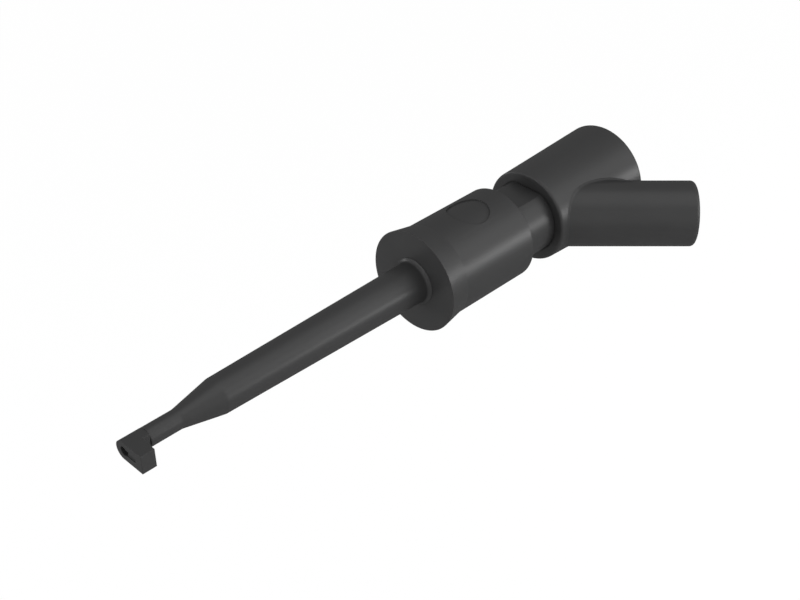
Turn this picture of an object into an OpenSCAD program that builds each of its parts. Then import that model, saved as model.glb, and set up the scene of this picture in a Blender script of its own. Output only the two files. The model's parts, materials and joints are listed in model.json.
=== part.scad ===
// Spring-loaded hook clip test probe with a plunger grip and an angled 4 mm socket.
// Pressing the thumb cap pushes a rod through the long shaft and opens the hook at the nose.
// X is the main axis, with the hook at -X and the thumb cap at +X. The hook's jaw and the
// socket branch both lie on the -Y side. The origin is the centre of the nose's front face.
// Every piece is drawn at rest, with the plunger held back by its spring.

/* [Shaft] */
// Length of the shaft from the nose's face to the flange
shaft_len = 41.4; // [38:0.05:60]
// Length of the thin neck
neck_len = 4.3; // [3:0.05:8]
// Radius of the nose's rounded rim
nose_edge = 0.1; // [0.05:0.01:0.22]
// Radius of the neck
neck_r = 1.22; // [1.2:0.01:1.6]
// Length of the cone behind the neck
cone_len = 5.5; // [3:0.1:8]
// Radius of the shaft where the cone ends
shaft_tip_r = 2.29; // [2.1:0.01:2.6]
// Radius of the shaft at the flange
shaft_root_r = 2.77; // [2.65:0.01:3.2]
// Radius of the fillet between the shaft and its shoulder
root_fillet = 0.45; // [0.2:0.05:0.6]
// Thickness of the shoulder that rests on the flange
shoulder_t = 0.05; // [0.05:0.01:0.2]
// Radius of the spigot that holds the shaft in the barrel
spigot_r = 2.2; // [1.8:0.05:2.4]

/* [Barrel] */
// Radius of the finger flange's rim
flange_r = 6.9; // [6.6:0.01:9]
// Length of the taper from the flange's rim to the barrel
flange_taper = 3.3; // [2:0.05:6]
// Radius of the barrel
barrel_r = 6.33; // [6.1:0.01:6.5]
// Length of the barrel with its flange
barrel_len = 15.85; // [15:0.05:24]
// Thickness of the barrel's front wall
front_wall = 3.2; // [2:0.1:4]
// Radius of the rounded rear edge
barrel_edge = 0.15; // [0.1:0.05:0.5]
// Radius of the round recess on top, which is left bare
pad_r = 2.8; // [1:0.1:4]
// Distance of the recess's centre from the flange's face
pad_at = 9.8; // [9:0.1:10]
// Depth of that recess
pad_depth = 0.15; // [0.05:0.01:0.3]

/* [Guide tube] */
// Radius of the guide tube
guide_r = 5; // [4.6:0.05:5.2]
// Height of the guide's flats above the axis
guide_flat = 4.39; // [4.2:0.01:4.5]
// Radius of the guide tube's bore
guide_bore_r = 3.5; // [3.4:0.05:3.6]
// Length of the guide inside the barrel at rest
guide_engaged = 6.9; // [5:0.1:7]
// Depth of the guide's seat in the thumb cap
guide_seat = 2.2; // [1.5:0.1:2.2]

/* [Thumb cap] */
// Gap between barrel and thumb cap at rest
cap_gap = 5.75; // [5.55:0.05:6]
// Length of the thumb cap
cap_len = 16.45; // [15:0.05:24]
// Radius of the thumb cap at its front
cap_front_r = 6.39; // [6.2:0.01:6.8]
// Radius of the thumb cap at its rear
cap_rear_r = 7.06; // [6.4:0.01:8]
// Radius of the rounded front edge
cap_lip = 0.3; // [0.1:0.05:0.5]
// Radius of the rounded rear edge
cap_edge = 0.15; // [0.1:0.05:1.5]

/* [Socket branch] */
// Angle between the branch and the main axis
branch_angle = 45; // [42:1:50]
// Distance from the cap's front to where the branch's axis crosses the main axis
branch_offset = 0.9; // [0.6:0.05:1.2]
// Radius of the branch
branch_r = 4.46; // [4.2:0.01:4.8]
// Length of the branch from the crossing to its mouth
branch_len = 22.2; // [20:0.1:30]
// Radius of the rounded edge at the mouth
branch_edge = 0.6; // [0.2:0.05:0.8]
// Radius of the socket's bore
socket_r = 2; // [1.5:0.05:2.1]
// Wall of the socket contact
socket_wall = 0.8; // [0.6:0.05:0.9]
// Distance from the crossing to the socket contact's closed end
socket_back = 5; // [5:0.1:6]
// Thickness of the socket contact's closed end
socket_floor = 1.2; // [0.8:0.1:2]
// Radius of the socket contact's front rim
socket_rim_r = 3.3; // [3.1:0.05:3.5]
// Length of the insulating collar at the mouth
collar_len = 1.6; // [1:0.1:3]
// Radius of the collar's bore
collar_bore_r = 2.5; // [2.4:0.05:2.8]

/* [Rod and ferrule] */
// Radius of the rod
rod_r = 0.5; // [0.4:0.01:0.6]
// Radius of the ferrule's body
ferrule_r = 1.9; // [1.7:0.05:2]
// Radius of the ferrule's spring flange
ferrule_flange_r = 3.3; // [3:0.05:3.35]
// Length of the hub that grips the rod in front of the flange
ferrule_hub_len = 2.2; // [1:0.1:4]
// Radius of the stud that joins the socket contact to the ferrule
stud_r = 0.9; // [0.6:0.05:1]

/* [Spring] */
// Radius of the spring's wire
wire_r = 0.22; // [0.15:0.01:0.25]
// Mean radius of the spring's coil
coil_r = 2.62; // [2.5:0.01:2.8]
// Number of turns, with one closed turn at each end
coil_turns = 10; // [8:1:12]
// Thickness of the washer under the spring
washer_t = 0.6; // [0.4:0.05:0.8]

/* [Hook] */
// Travel of the plunger, which is how far the hook opens
travel = 5.5; // [4.5:0.1:5.5]
// Length of the seat that closes the hook against the nose
seat_len = 1.05; // [1:0.05:2]
// Reach of the seat from the axis
seat_reach = 1.05; // [0.9:0.05:1.15]
// Thickness of the jaw along the axis
jaw_t = 1.85; // [1.6:0.05:2.2]
// Half the height of the jaw
jaw_half = 1.23; // [1.1:0.01:1.3]
// Reach of the jaw from the axis
jaw_reach = 3.34; // [3:0.01:5]
// Distance of the half-round shank's flat from the axis
spine_y = 0.15; // [0.1:0.01:0.2]
// Radius of the shank that slides in the nose
shank_r = 0.86; // [0.82:0.01:0.88]
// Length of the shank
shank_len = 9.5; // [8:0.1:12]
// Radius of the contact finger's wire
finger_r = 0.28; // [0.2:0.01:0.28]
// Distance of the finger from the axis
finger_y = 0.5; // [0.48:0.01:0.52]
// Radius of the finger's bend
finger_bend = 0.45; // [0.4:0.01:0.5]
// Radius of the round core hole in the jaw's face
core_hole_r = 0.6; // [0.5:0.05:0.75]

/* [Fits] */
// Radial clearance of what slides
slide_gap = 0.07; // [0.05:0.01:0.1]
// Radial clearance of what is pressed in
seat_gap = 0.01; // [0.005:0.005:0.02]
// Room around the rod inside the shaft
rod_room = 0.2; // [0.1:0.01:0.25]

/* [Hidden] */
$fn = 96;
cut = 0.5;                       // how far a cutting solid runs past a face
corner_steps = 5;                // straight steps in a rounded corner
plastic = [0.15, 0.15, 0.16];
brass = [0.78, 0.62, 0.33];
steel = [0.62, 0.63, 0.65];

flange_x = shaft_len;
chamber_x = flange_x + front_wall;
barrel_end = flange_x + barrel_len;
cap_x = barrel_end + cap_gap;
cap_end = cap_x + cap_len;
cross_x = cap_x + branch_offset;
collar_x = branch_len - collar_len;
rim_t = 0.6;                     // thickness of the socket contact's rim
shoulder_rim = 0.05;             // flat of the shoulder beyond its fillet
shoulder_r = shaft_root_r + root_fillet + shoulder_rim;
spigot_end = chamber_x + washer_t;
ferrule_inset = 0.2;             // depth of the ferrule's flange inside the thumb cap
ferrule_x = cap_x + ferrule_inset;
ferrule_flange_t = 0.8;
ferrule_tail = 2.4;              // how far the ferrule runs past the guide's seat
ferrule_end = cap_x + guide_seat + ferrule_tail;
ferrule_hub_wall = 0.7;
ferrule_hub_r = rod_r + ferrule_hub_wall;
rod_grip = 1.9;                  // how far the rod runs past the ferrule's flange face
rod_end = ferrule_x + rod_grip;
stud_tip = 1.4;                  // distance of the stud's tip from the crossing
head_gap = 0.03;                 // gap between the hook's seat and the nose at rest
jaw_x = -seat_len - jaw_t;
half_shank_end = travel + 0.1;   // the shank is a half round as far as the open hook bares it
rod_front = travel + 0.3;        // front end of the rod, inside the nose with the hook open
finger_lap = 1.6;                // how far the finger's leg lies beside the rod
finger_root = rod_front + finger_lap;
finger_wall = 0.15;              // depth of the finger below the seat's face
finger_x = -head_gap - finger_wall - finger_r;
finger_end_wall = 0.2;           // plastic beyond the finger's end
finger_tip = finger_end_wall - seat_reach;
pocket_half = 0.4;
pocket_depth = 0.15;
pocket_reach = 1.9;              // from the axis to the centre of the pocket's round end
core_hole_y = -0.15;
core_hole_depth = 1.2;

// The arc that rounds corner b of the path a-b-c with radius r
function corner(a, b, c, r) =
    let (u = (a - b) / norm(a - b), v = (c - b) / norm(c - b), half = acos(u * v) / 2,
         centre = b + (u + v) / norm(u + v) * r / sin(half),
         p = b + u * r / tan(half) - centre, q = b + v * r / tan(half) - centre,
         start = atan2(p.y, p.x), turn = atan2(p.x * q.y - p.y * q.x, p * q))
    [for (i = [0 : corner_steps]) let (t = start + turn * i / corner_steps)
        centre + r * [cos(t), sin(t)]];

// A path of [x, y, corner radius] with its corners rounded
function rounded(path) = [for (i = [0 : len(path) - 1])
    let (b = [path[i].x, path[i].y])
    each (path[i].z == 0 ? [b] :
        corner([path[i - 1].x, path[i - 1].y], b, [path[i + 1].x, path[i + 1].y], path[i].z))];

// A solid of revolution about X. Its path holds [x, radius, corner radius]
module turned(path) {
    rotate([0, 90, 0]) rotate_extrude() polygon([for (p = rounded(path)) [p.y, p.x]]);
}

// A round bar or hole along X
module bar(x0, x1, r) {
    translate([x0, 0, 0]) rotate([0, 90, 0]) cylinder(h = x1 - x0, r = r);
}

// A flat outline in Y and Z, extruded along X
module slab(x0, x1) {
    translate([x0, 0, 0]) rotate([90, 0, 90]) linear_extrude(x1 - x0) children();
}

// Places a solid made along X on the branch's axis, with X = 0 at the crossing
module in_branch() {
    translate([cross_x, 0, 0]) rotate([0, 0, -branch_angle]) children();
}

// The guide's outline: a circle with a flat on top and one below
module guide_outline(gap) {
    intersection() {
        circle(r = guide_r + gap);
        square([3 * guide_r, 2 * (guide_flat + gap)], center = true);
    }
}

// The finger's wire: a leg along X, a bend and a leg inside the seat
module finger_wire(gap) {
    bend_x = finger_x + finger_bend;
    bend_y = finger_y - finger_bend;
    translate([0, finger_y, 0]) bar(bend_x, finger_root, finger_r + gap);
    translate([bend_x, bend_y, 0]) rotate([0, 0, 90]) rotate_extrude(angle = 90)
        translate([finger_bend, 0]) circle(r = finger_r + gap);
    translate([finger_x, finger_tip, 0]) rotate([-90, 0, 0])
        cylinder(h = bend_y - finger_tip, r = finger_r + gap);
}

// Flanged finger grip with the guide's bore and the spring chamber
module barrel() {
    color(plastic) difference() {
        turned([[flange_x, 0, 0], [flange_x, flange_r, 0],
            [flange_x + flange_taper, barrel_r, 0],
            [barrel_end, barrel_r, barrel_edge], [barrel_end, 0, 0]]);
        bar(flange_x - cut, chamber_x + cut, spigot_r + seat_gap);
        slab(chamber_x, barrel_end + cut) guide_outline(slide_gap);
        top_pad();
    }
}

// Round shallow recess that follows the barrel's surface
module top_pad() {
    pad_x = flange_x + pad_at;
    intersection() {
        translate([pad_x, 0, 0]) cylinder(h = 2 * barrel_r, r = pad_r);
        difference() {
            bar(pad_x - 2 * pad_r, pad_x + 2 * pad_r, barrel_r + cut);
            bar(pad_x - 3 * pad_r, pad_x + 3 * pad_r, barrel_r - pad_depth);
        }
    }
}

// Long tapered shaft with its cone, neck and nose, held in the barrel by a spigot
module shaft() {
    face_x = flange_x - shoulder_t;
    color(plastic) difference() {
        turned([[0, 0, 0], [0, neck_r, nose_edge], [neck_len, neck_r, 2],
            [neck_len + cone_len, shaft_tip_r, 2], [face_x, shaft_root_r, root_fillet],
            [face_x, shoulder_r, 0], [flange_x, shoulder_r, 0], [flange_x, spigot_r, 0],
            [spigot_end, spigot_r, 0.2], [spigot_end, 0, 0]]);
        bar(-cut, shank_len + 0.5, shank_r + slide_gap);
        bar(0, spigot_end + cut, rod_r + rod_room);
    }
}

// Steel washer on the spigot's end, which carries the spring
module spring_washer() {
    color(steel) difference() {
        bar(chamber_x, spigot_end, coil_r + wire_r + 0.3);
        bar(chamber_x - cut, spigot_end + cut, spigot_r + seat_gap);
    }
}

// Compression spring between the washer and the ferrule's flange
module return_spring() {
    sides = 8;
    steps = 20;
    free = 0.02;
    closed = 2 * wire_r * 1.1;
    start = spigot_end + wire_r + free;
    length = ferrule_x - wire_r - free - start;
    last = coil_turns * steps;
    // Distance along the axis after t turns
    function rise(t) = t < 1 ? closed * t :
        t > coil_turns - 1 ? length - closed * (coil_turns - t) :
        closed + (length - 2 * closed) * (t - 1) / (coil_turns - 2);
    function ring(i) = [for (k = [0 : sides - 1])
        let (a = 360 * i / steps, b = 360 * k / sides, r = coil_r + wire_r * cos(b))
        [start + rise(i / steps) + wire_r * sin(b), r * cos(a), r * sin(a)]];
    color(steel) polyhedron(
        points = [for (i = [0 : last]) each ring(i)],
        faces = [
            [for (k = [0 : sides - 1]) k],
            for (i = [0 : last - 1], k = [0 : sides - 1])
                [i * sides + k, (i + 1) * sides + k,
                 (i + 1) * sides + (k + 1) % sides, i * sides + (k + 1) % sides],
            [for (k = [sides - 1 : -1 : 0]) last * sides + k]]);
}

// Y-shaped thumb cap: a flared cap and the socket branch in one moulding
module thumb_cap() {
    branch_root = 4;             // the branch starts inside the cap
    color(plastic) difference() {
        union() {
            turned([[cap_x, 0, 0], [cap_x, cap_front_r, cap_lip],
                [cap_end, cap_rear_r, cap_edge], [cap_end, 0, 0]]);
            in_branch() turned([[branch_root, 0, 0], [branch_root, branch_r, 0],
                [branch_len, branch_r, branch_edge], [branch_len, 0, 0]]);
        }
        slab(cap_x - cut, cap_x + guide_seat) guide_outline(seat_gap);
        bar(cap_x, ferrule_end + 0.1, ferrule_r + seat_gap);
        in_branch() bar(stud_tip, socket_back + cut, stud_r + slide_gap);
        in_branch() bar(socket_back, branch_len + cut, socket_r + socket_wall + seat_gap);
        in_branch() bar(collar_x - rim_t, branch_len + cut, socket_rim_r + seat_gap);
    }
}

// Tube with two flats that slides in the barrel and stops the cap from turning
module guide_tube() {
    color(plastic) difference() {
        slab(barrel_end - guide_engaged, cap_x + guide_seat) guide_outline(0);
        bar(barrel_end - guide_engaged - cut, cap_x + guide_seat + cut, guide_bore_r);
    }
}

// Turned 4 mm socket with a stud that fits the ferrule
module socket_contact() {
    outer_r = socket_r + socket_wall;
    color(brass) in_branch() difference() {
        turned([[stud_tip, 0, 0], [stud_tip, stud_r, 0.15], [socket_back, stud_r, 0],
            [socket_back, outer_r, 0.2], [collar_x - rim_t, outer_r, 0],
            [collar_x - rim_t, socket_rim_r, 0], [collar_x, socket_rim_r, 0],
            [collar_x, 0, 0]]);
        bar(socket_back + socket_floor, collar_x + cut, socket_r);
    }
}

// Insulating collar that keeps the socket in the branch
module socket_collar() {
    lead_in = 0.4;
    color(plastic) in_branch() turned([[collar_x, collar_bore_r, 0],
        [collar_x, socket_rim_r, 0], [branch_len, socket_rim_r, 0],
        [branch_len, collar_bore_r + lead_in, 0],
        [branch_len - lead_in, collar_bore_r, 0]]);
}

// Brass ferrule that grips the rod, carries the spring and takes the socket's stud
module rod_ferrule() {
    color(brass) difference() {
        turned([[ferrule_x - ferrule_hub_len, 0, 0],
            [ferrule_x - ferrule_hub_len, ferrule_hub_r, 0.2], [ferrule_x, ferrule_hub_r, 0],
            [ferrule_x, ferrule_flange_r, 0],
            [ferrule_x + ferrule_flange_t, ferrule_flange_r, 0],
            [ferrule_x + ferrule_flange_t, ferrule_r, 0],
            [ferrule_end, ferrule_r, 0.2], [ferrule_end, 0, 0]]);
        bar(ferrule_x - ferrule_hub_len - cut, rod_end, rod_r + seat_gap);
        in_branch() bar(stud_tip, socket_back, stud_r + seat_gap);
    }
}

// Rod from the ferrule to the hook, grooved at its front for the finger
module hook_rod() {
    color(steel) difference() {
        bar(rod_front, rod_end, rod_r);
        finger_wire(seat_gap);
    }
}

// Bent wire that touches the work, moulded into the hook's head
module hook_finger() {
    color(brass) finger_wire(0);
}

// Moulded hook: the jaw, the seat that meets the nose and the shank that slides in it
module hook_head() {
    color(plastic) difference() {
        union() {
            difference() {
                slab(jaw_x, -head_gap) jaw_outline();
                behind_jaw();
            }
            slab(-seat_len, half_shank_end + cut) half_round(shank_r);
            bar(half_shank_end, shank_len, shank_r);
        }
        bar(rod_front, shank_len + cut, rod_r + seat_gap);
        finger_wire(seat_gap);
        finger_slot();
        jaw_face_cuts();
    }
}

// The jaw seen along the axis: round on the spine's side, square at the tip
module jaw_outline() {
    circle(r = jaw_half);
    translate([-jaw_reach, -jaw_half]) square([jaw_reach, 2 * jaw_half]);
}

// The room between the jaw's lip and the nose, beside the seat
module behind_jaw() {
    translate([-seat_len, -jaw_reach - cut, -jaw_half - cut])
        cube([seat_len + cut, jaw_reach + cut - seat_reach, 2 * (jaw_half + cut)]);
}

// The part of a circle that lies beyond the spine's inner face
module half_round(r) {
    intersection() {
        circle(r = r);
        translate([spine_y, -r]) square([r, 2 * r]);
    }
}

// Slot in the seat's face that bares the finger
module finger_slot() {
    bare_half = 0.2;
    translate([finger_x, finger_tip, -bare_half])
        cube([cut - finger_x, finger_y - finger_bend - finger_tip, 2 * bare_half]);
}

// Shallow pocket and deep core hole in the jaw's front face
module jaw_face_cuts() {
    slab(jaw_x - cut, jaw_x + pocket_depth) union() {
        translate([-pocket_reach, 0]) circle(r = pocket_half);
        translate([-pocket_reach, -pocket_half]) square([pocket_reach, 2 * pocket_half]);
    }
    translate([0, core_hole_y, 0]) bar(jaw_x - cut, jaw_x + core_hole_depth, core_hole_r);
}

barrel();
shaft();
spring_washer();
return_spring();
thumb_cap();
guide_tube();
socket_contact();
socket_collar();
rod_ferrule();
hook_rod();
hook_finger();
hook_head();
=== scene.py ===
"""Looks of the hook clip test probe: finishes, spring, fillet, floor, light and camera.

Lengths are in metres, in the part's own frame: X is the main axis, with the hook at -X and the
thumb cap at +X, and the socket branch lies on the -Y side.
"""

import json
import math

import bpy
from mathutils import Matrix, Vector

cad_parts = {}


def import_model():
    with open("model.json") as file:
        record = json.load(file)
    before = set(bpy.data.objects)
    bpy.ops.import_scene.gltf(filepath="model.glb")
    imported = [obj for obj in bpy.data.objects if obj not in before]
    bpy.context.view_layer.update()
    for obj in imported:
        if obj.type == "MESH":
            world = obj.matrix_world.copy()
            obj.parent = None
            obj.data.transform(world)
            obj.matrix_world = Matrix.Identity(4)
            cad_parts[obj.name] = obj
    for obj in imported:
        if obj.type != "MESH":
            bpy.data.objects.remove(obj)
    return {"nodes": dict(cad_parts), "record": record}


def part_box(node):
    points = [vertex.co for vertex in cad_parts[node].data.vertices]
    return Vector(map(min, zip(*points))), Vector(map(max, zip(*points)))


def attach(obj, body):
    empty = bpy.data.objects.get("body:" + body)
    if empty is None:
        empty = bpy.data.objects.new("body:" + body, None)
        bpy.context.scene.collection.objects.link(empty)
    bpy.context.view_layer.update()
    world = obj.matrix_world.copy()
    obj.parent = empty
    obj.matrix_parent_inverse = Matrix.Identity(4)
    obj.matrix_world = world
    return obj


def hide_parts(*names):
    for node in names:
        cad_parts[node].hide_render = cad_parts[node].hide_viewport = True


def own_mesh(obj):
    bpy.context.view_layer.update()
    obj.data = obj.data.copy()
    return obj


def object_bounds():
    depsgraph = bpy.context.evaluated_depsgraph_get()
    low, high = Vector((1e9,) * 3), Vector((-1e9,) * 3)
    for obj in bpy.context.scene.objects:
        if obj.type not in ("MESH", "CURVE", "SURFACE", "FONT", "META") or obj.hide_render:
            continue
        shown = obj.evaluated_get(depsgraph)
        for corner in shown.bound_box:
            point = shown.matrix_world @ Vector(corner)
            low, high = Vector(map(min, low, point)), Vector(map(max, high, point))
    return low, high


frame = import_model()
cad_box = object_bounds()

MM = 0.001
HOUSING = "housing"
PLUNGER = "plunger"


def mount(name):
    """The record's mount of that name."""
    return next(m for m in frame["record"]["mounts"] if m["name"] == name)


# ---------------------------------------------------------------- node helpers

class Nodes:
    """Short calls for building the node tree of a material or a world."""

    def __init__(self, owner):
        owner.use_nodes = True
        self.owner = owner
        self.tree = owner.node_tree
        self.tree.nodes.clear()
        self.output = self.add("OutputWorld" if isinstance(owner, bpy.types.World)
                               else "OutputMaterial")

    def add(self, kind, inputs=None, **settings):
        """A node with its settings and inputs. An input is a value or another node's output."""
        node = self.tree.nodes.new("ShaderNode" + kind)
        for key, value in settings.items():
            setattr(node, key, value)
        for key, value in (inputs or {}).items():
            socket = node.inputs[key]
            if isinstance(value, bpy.types.NodeSocket):
                self.tree.links.new(value, socket)
            else:
                socket.default_value = value
        return node

    def math(self, operation, a, b=0.0, clamp=False):
        """The result of a sum on two values. Clamped, it stays between 0 and 1."""
        node = self.add("Math", {0: a, 1: b}, operation=operation)
        node.use_clamp = clamp
        return node.outputs[0]

    def remap(self, value, low, high, to_low, to_high):
        """The value moved from one range to another, and held inside it."""
        return self.add("MapRange", {"Value": value, "From Min": low, "From Max": high,
                                     "To Min": to_low, "To Max": to_high}).outputs["Result"]

    def millimetres(self, stretch=(1.0, 1.0, 1.0)):
        """The place on the piece in millimetres, stretched along its axes."""
        coords = self.add("TexCoord").outputs["Object"]
        scale = tuple(s / MM for s in stretch)
        return self.add("Mapping", {"Vector": coords, "Scale": scale}).outputs["Vector"]

    def noise(self, place, scale, detail=2.0, roughness=0.5):
        """Noise from 0 to 1, with about `scale` lumps to a unit of the place."""
        return self.add("TexNoise", {"Vector": place, "Scale": scale, "Detail": detail,
                                     "Roughness": roughness}).outputs["Fac"]

    def tint(self, colour, darker, lighter, amount):
        """The colour, from darker to lighter by the amount."""
        low = tuple(c * darker for c in colour) + (1.0,)
        high = tuple(c * lighter for c in colour) + (1.0,)
        return self.add("Mix", {"Factor": amount, "A": low, "B": high},
                        data_type="RGBA").outputs["Result"]

    def finish(self, shader):
        """The material or world, with that shader as its surface."""
        self.tree.links.new(shader, self.output.inputs["Surface"])
        return self.owner


# ---------------------------------------------------------------- materials

GRAIN_DEPTH = 0.006 * MM                 # spark-eroded grain of the mouldings
TOOL_MARK_DEPTH = 0.003 * MM             # turning rings and drawing streaks
SHEEN_WEIGHT, SHEEN_IOR = 0.08, 2.5      # coat that gives the plastic its sheen
SHARPEST, SOFTEST = 0.97, 0.8            # cosines between which an edge counts as rubbed
BRASS = (0.72, 0.55, 0.28)
STEEL = (0.56, 0.57, 0.58)
BRANCH_AXIS = tuple(mount("plug_socket")["axis"])
MAIN_AXIS = (1.0, 0.0, 0.0)


def moulded_plastic(name, grey=0.026, roughness=0.35, grain=0.25, edge_radius=0.12):
    """Black moulded plastic: spark-eroded grain, faint flow marks and edges rubbed smooth.

    The sheen is a thin coat over a matt base, so that it stays even towards the outline. The edge
    radius is in millimetres.
    """
    n = Nodes(bpy.data.materials.new(name))
    place = n.millimetres()
    fine = n.noise(place, 5.0, detail=3.0)
    flow = n.noise(n.millimetres((0.05, 0.2, 0.2)), 1.0, detail=2.0)
    scuff = n.noise(place, 0.6, detail=4.0, roughness=0.65)
    soft = n.add("Bevel", {"Radius": edge_radius * MM}, samples=6)
    flat = n.add("NewGeometry").outputs["Normal"]
    facing = n.add("VectorMath", {0: soft.outputs["Normal"], 1: flat}, operation="DOT_PRODUCT")
    edge = n.remap(facing.outputs["Value"], SHARPEST, SOFTEST, 0.0, 1.0)
    rubbed = n.math("MULTIPLY", edge, n.remap(scuff, 0.4, 0.62, 0.2, 1.0), clamp=True)
    shade = n.math("ADD", n.math("MULTIPLY", rubbed, 0.6), n.math("MULTIPLY", flow, 0.5))
    colour = n.tint((grey, grey, grey * 1.01), 0.85, 1.35, shade)
    rough = n.math("ADD", n.remap(scuff, 0.35, 0.65, roughness - 0.03, roughness + 0.04),
                   n.math("MULTIPLY", rubbed, -0.08))
    bump = n.add("Bump", {"Strength": grain, "Distance": GRAIN_DEPTH, "Height": fine,
                          "Normal": soft.outputs["Normal"]})
    shader = n.add("BsdfPrincipled", {
        "Base Color": colour, "Roughness": rough, "Specular IOR Level": 0.0,
        "Coat Weight": SHEEN_WEIGHT, "Coat IOR": SHEEN_IOR, "Coat Roughness": roughness,
        "Normal": bump.outputs["Normal"], "Coat Normal": bump.outputs["Normal"]})
    return n.finish(shader.outputs[0])


def turned_metal(name, colour, roughness, axis, pitch=0.12):
    """Turned metal: fine tool rings across its axis, and a dull film.

    The pitch of the rings is in millimetres.
    """
    n = Nodes(bpy.data.materials.new(name))
    place = n.millimetres()
    along = n.add("VectorMath", {0: place, 1: axis}, operation="DOT_PRODUCT").outputs["Value"]
    ring = n.math("SINE", n.math("MULTIPLY", along, math.tau / pitch))
    film = n.noise(place, 0.5, detail=4.0, roughness=0.6)
    fine = n.noise(place, 9.0)
    height = n.math("ADD", n.math("MULTIPLY", ring, 0.5), fine)
    bump = n.add("Bump", {"Strength": 0.25, "Distance": TOOL_MARK_DEPTH, "Height": height})
    shader = n.add("BsdfPrincipled", {
        "Base Color": n.tint(colour, 0.8, 1.05, film), "Metallic": 1.0,
        "Roughness": n.remap(film, 0.3, 0.7, roughness - 0.05, roughness + 0.1),
        "Normal": bump.outputs["Normal"]})
    return n.finish(shader.outputs[0])


def drawn_metal(name, colour, roughness):
    """Drawn wire or rod: long streaks along X, and a few dull spots."""
    n = Nodes(bpy.data.materials.new(name))
    streak = n.noise(n.millimetres((0.15, 6.0, 6.0)), 1.0, detail=3.0)
    spots = n.noise(n.millimetres(), 0.8, detail=4.0, roughness=0.6)
    bump = n.add("Bump", {"Strength": 0.2, "Distance": TOOL_MARK_DEPTH, "Height": streak})
    shader = n.add("BsdfPrincipled", {
        "Base Color": n.tint(colour, 0.82, 1.05, spots), "Metallic": 1.0,
        "Roughness": n.remap(streak, 0.3, 0.7, roughness - 0.06, roughness + 0.08),
        "Normal": bump.outputs["Normal"]})
    return n.finish(shader.outputs[0])


FINISHES = {
    "barrel": moulded_plastic("housing_plastic"),
    "shaft": moulded_plastic("shaft_plastic", edge_radius=0.25),
    "thumb_cap": moulded_plastic("cap_plastic", edge_radius=0.4),
    "guide_tube": moulded_plastic("guide_plastic", roughness=0.38, grain=0.12),
    "socket_collar": moulded_plastic("collar_plastic"),
    "hook_head": moulded_plastic("hook_plastic"),
    "socket_contact": turned_metal("socket_brass", BRASS, 0.28, BRANCH_AXIS),
    "rod_ferrule": turned_metal("ferrule_brass", BRASS, 0.3, MAIN_AXIS),
    "hook_finger": drawn_metal("finger_brass", BRASS, 0.3),
    "hook_rod": drawn_metal("rod_steel", STEEL, 0.25),
    "spring_washer": turned_metal("washer_steel", STEEL, 0.4, MAIN_AXIS, pitch=0.08),
}


def dress_nodes():
    """Gives each carried-over CAD node its finish."""
    for node, material in FINISHES.items():
        mesh = frame["nodes"][node].data
        mesh.materials.clear()
        mesh.materials.append(material)


# ---------------------------------------------------------------- new pieces

def new_piece(name, points, faces, smooth, material):
    """A piece from its points and faces. The flags in smooth say which faces are shaded round."""
    mesh = bpy.data.meshes.new(name)
    mesh.from_pydata(points, [], faces)
    mesh.polygons.foreach_set("use_smooth", smooth)
    mesh.materials.append(material)
    piece = bpy.data.objects.new(name, mesh)
    bpy.context.collection.objects.link(piece)
    return piece


def return_spring():
    """Smooth round wire in place of the CAD spring, closed at both ends.
    """
    low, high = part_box("return_spring")
    wire = 0.22 * MM                     # radius of the wire
    coil = high.y - wire
    turns, steps, sides = 10, 48, 12
    start, end = low.x + wire, high.x - wire
    closed = 2.2 * wire                  # pitch of the closed turn at each end
    open_pitch = (end - start - 2 * closed) / (turns - 2)

    def along(t):
        """Distance along the axis after t turns."""
        if t < 1:
            return start + closed * t
        if t > turns - 1:
            return end - closed * (turns - t)
        return start + closed + open_pitch * (t - 1)

    points, faces = [], []
    for i in range(turns * steps + 1):
        angle = math.tau * i / steps
        for k in range(sides):
            around = math.tau * k / sides
            radius = coil + wire * math.cos(around)
            points.append((along(i / steps) + wire * math.sin(around),
                           radius * math.cos(angle), radius * math.sin(angle)))
    for i in range(turns * steps):
        for k in range(sides):
            a, b = i * sides + k, i * sides + (k + 1) % sides
            faces.append((a, a + sides, b + sides, b))
    faces.append(tuple(range(sides)))
    faces.append(tuple(reversed(range(len(points) - sides, len(points)))))
    smooth = [len(face) == 4 for face in faces]
    piece = new_piece("return_spring_wire", points, faces, smooth,
                      drawn_metal("spring_steel", STEEL, 0.3))
    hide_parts("return_spring")
    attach(piece, HOUSING)
    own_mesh(piece)


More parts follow.
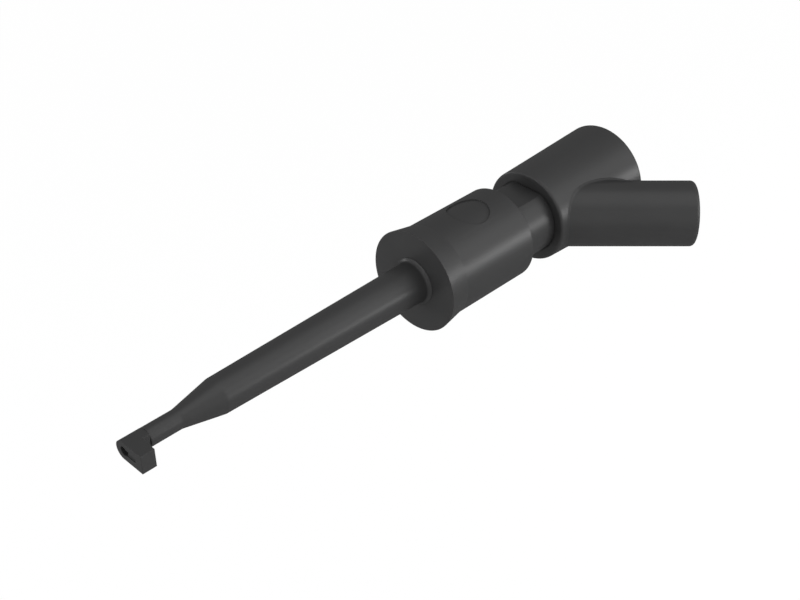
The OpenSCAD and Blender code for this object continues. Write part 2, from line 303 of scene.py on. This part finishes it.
def cap_fillet():
    """Soft fillet round the foot of the socket branch. It moves with the cap."""
    radius = 0.45 * MM
    front_radius, rear_radius, branch_radius = 6.39 * MM, 7.06 * MM, 4.46 * MM
    steps, arc_steps, halvings = 128, 6, 40
    depth = 1.3                          # how far its hidden edge goes past the corner
    front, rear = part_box("thumb_cap")[0].x, mount("thumb_face")["pos_m"][0]
    slope = (rear_radius - front_radius) / (rear - front)
    cosine = 1 / math.hypot(1, slope)
    mouth, axis = Vector(mount("plug_socket")["pos_m"]), Vector(BRANCH_AXIS)
    root = mouth - axis * (mouth.y / axis.y)
    side, up = Vector((-axis.y, axis.x, 0.0)), Vector((0.0, 0.0, 1.0))

    def height(place):
        """How far the place stands off the cap's cone."""
        cap_radius = front_radius + slope * (place.x - front)
        return (math.hypot(place.y, place.z) - cap_radius) * cosine

    def section(angle):
        """Points across the fillet, where a ball rolls in the corner between branch and cap."""
        out = side * math.cos(angle) + up * math.sin(angle)
        low, high = 0.0, mouth.length
        for _ in range(halvings):
            middle = (low + high) / 2
            inside = height(root + axis * middle + out * (branch_radius + radius)) < radius
            low, high = (middle, high) if inside else (low, middle)
        centre = root + axis * low + out * (branch_radius + radius)
        cap = Vector((-slope, *(centre.yz / centre.yz.length))) * cosine
        arc = [centre - out.slerp(cap, i / arc_steps) * radius for i in range(arc_steps + 1)]
        buried = centre - (out + cap) * (depth * radius / (1 + out.dot(cap)))
        return arc + [buried]

    points = [place for i in range(steps) for place in section(math.tau * i / steps)]
    across = arc_steps + 2
    faces = []
    for i in range(steps):
        for k in range(across):
            a, b = i * across + k, i * across + (k + 1) % across
            ahead = across if i < steps - 1 else across - len(points)
            faces.append((a, b, b + ahead, a + ahead))
    smooth = [i % across < arc_steps for i in range(len(faces))]
    piece = new_piece("cap_fillet", points, faces, smooth,
                      moulded_plastic("fillet_plastic", edge_radius=0.01))
    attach(piece, PLUNGER)


# ---------------------------------------------------------------- stage, light and camera

WHITE = (1.0, 1.0, 1.0, 1.0)
PAPER = (0.85, 0.85, 0.85, 1.0)
FLANGE = Vector((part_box("barrel")[0].x, 0.0, 0.0))   # centre of the flange's front face
MIDDLE = Vector(((cad_box[0][0] + cad_box[1][0]) / 2, 0.0, 0.0))
FLOOR_SIZE = 3.0
FLOOR_DROP = 0.09                        # floor below the part's lowest point
AMBIENT = 0.45                           # even light on the part from all round
LAMP_DISTANCE = 0.6                      # from the middle of the part

# Name, azimuth and elevation in degrees, width and height in metres, radiance
LAMPS = [
    ("key", -44, 4, 0.17, 0.12, 22.0),
    ("key_left", -60, 4, 0.17, 0.12, 6.6),
    ("key_right", -27, 7, 0.2, 0.16, 4.0),
    ("front_fill", -46, 34, 0.46, 0.28, 2.4),
    ("side_fill", -125, 22, 0.84, 0.6, 0.6),
    ("overhead", -60, 76, 0.6, 0.5, 1.6),
    ("back_fill", 165, 10, 0.5, 0.3, 4.0),
    ("back_key", 105, 5, 0.2, 0.15, 10.0),
]


def white_for_view(n):
    """1 for rays that show the background, straight on, in metal or through glass."""
    path = n.add("LightPath").outputs
    seen = n.math("ADD", path["Is Camera Ray"], path["Is Glossy Ray"])
    return n.math("ADD", seen, path["Is Transmission Ray"], clamp=True)


def floor():
    """Large pale floor that shows white and keeps a faint soft shadow near the part."""
    near, far, near_white = 0.15, 0.5, 0.92
    place = (MIDDLE.x, 0, cad_box[0][2] - FLOOR_DROP)
    bpy.ops.mesh.primitive_plane_add(size=FLOOR_SIZE, location=place)
    plane = bpy.context.object
    plane.name = "floor"
    n = Nodes(bpy.data.materials.new("floor_paper"))
    paper = n.add("BsdfDiffuse", {"Color": PAPER}).outputs[0]
    white = n.add("Emission", {"Color": WHITE, "Strength": 1.0}).outputs[0]
    spot = n.add("TexCoord").outputs["Object"]
    away = n.add("VectorMath", {0: spot}, operation="LENGTH").outputs["Value"]
    lift = n.remap(away, near, far, near_white, 1.0)
    lifted = n.math("MULTIPLY", white_for_view(n), lift)
    shown = n.add("MixShader", {0: lifted, 1: paper, 2: white}).outputs[0]
    plane.data.materials.append(n.finish(shown))


def world():
    """Even soft light from all round, which shows as white."""
    n = Nodes(bpy.data.worlds.new("studio"))
    strength = n.remap(white_for_view(n), 0.0, 1.0, AMBIENT, 1.0)
    light = n.add("Background", {"Color": WHITE, "Strength": strength})
    bpy.context.scene.world = n.finish(light.outputs[0])


def softbox(name, azimuth, elevation, width, height, radiance):
    """Soft lamp that faces the part, with its width level. Azimuth counts from +X towards +Y."""
    lamp = bpy.data.lights.new(name, "AREA")
    lamp.shape = "RECTANGLE"
    lamp.size = width
    lamp.size_y = height
    lamp.energy = radiance * math.pi * width * height
    lit = bpy.data.objects.new(name, lamp)
    bpy.context.collection.objects.link(lit)
    around, up = math.radians(azimuth), math.radians(elevation)
    back = Vector((math.cos(around) * math.cos(up), math.sin(around) * math.cos(up), math.sin(up)))
    side = Vector((-math.sin(around), math.cos(around), 0.0))
    turn = Matrix((side, back.cross(side), back)).transposed().to_4x4()
    lit.matrix_world = Matrix.Translation(MIDDLE + back * LAMP_DISTANCE) @ turn


def camera():
    """Camera at the photograph's view: 45 degrees round and 36 degrees up, with perspective.

    Its place and its lens were fitted to the photograph's outline.
    """
    azimuth, elevation = math.radians(-45), math.radians(36.123)
    distance, right_shift, up_shift = 166.94 * MM, -1.719 * MM, -2.362 * MM
    lens, sensor_width = 59.65, 36.0
    level = math.cos(elevation)
    back = Vector((math.sin(azimuth) * level, -math.cos(azimuth) * level, math.sin(elevation)))
    right = Vector((math.cos(azimuth), math.sin(azimuth), 0.0))
    up = back.cross(right)
    data = bpy.data.cameras.new("photo_view")
    data.sensor_width = sensor_width
    data.lens = lens
    data.clip_start = 0.01
    data.dof.use_dof = False
    view = bpy.data.objects.new("photo_view", data)
    bpy.context.collection.objects.link(view)
    place = FLANGE + back * distance + right * right_shift + up * up_shift
    view.matrix_world = Matrix.Translation(place) @ Matrix((right, up, back)).transposed().to_4x4()
    bpy.context.scene.camera = view


dress_nodes()
return_spring()
cap_fillet()
floor()
world()
for lamp_settings in LAMPS:
    softbox(*lamp_settings)
camera()
bpy.context.scene.view_settings.view_transform = "Standard"
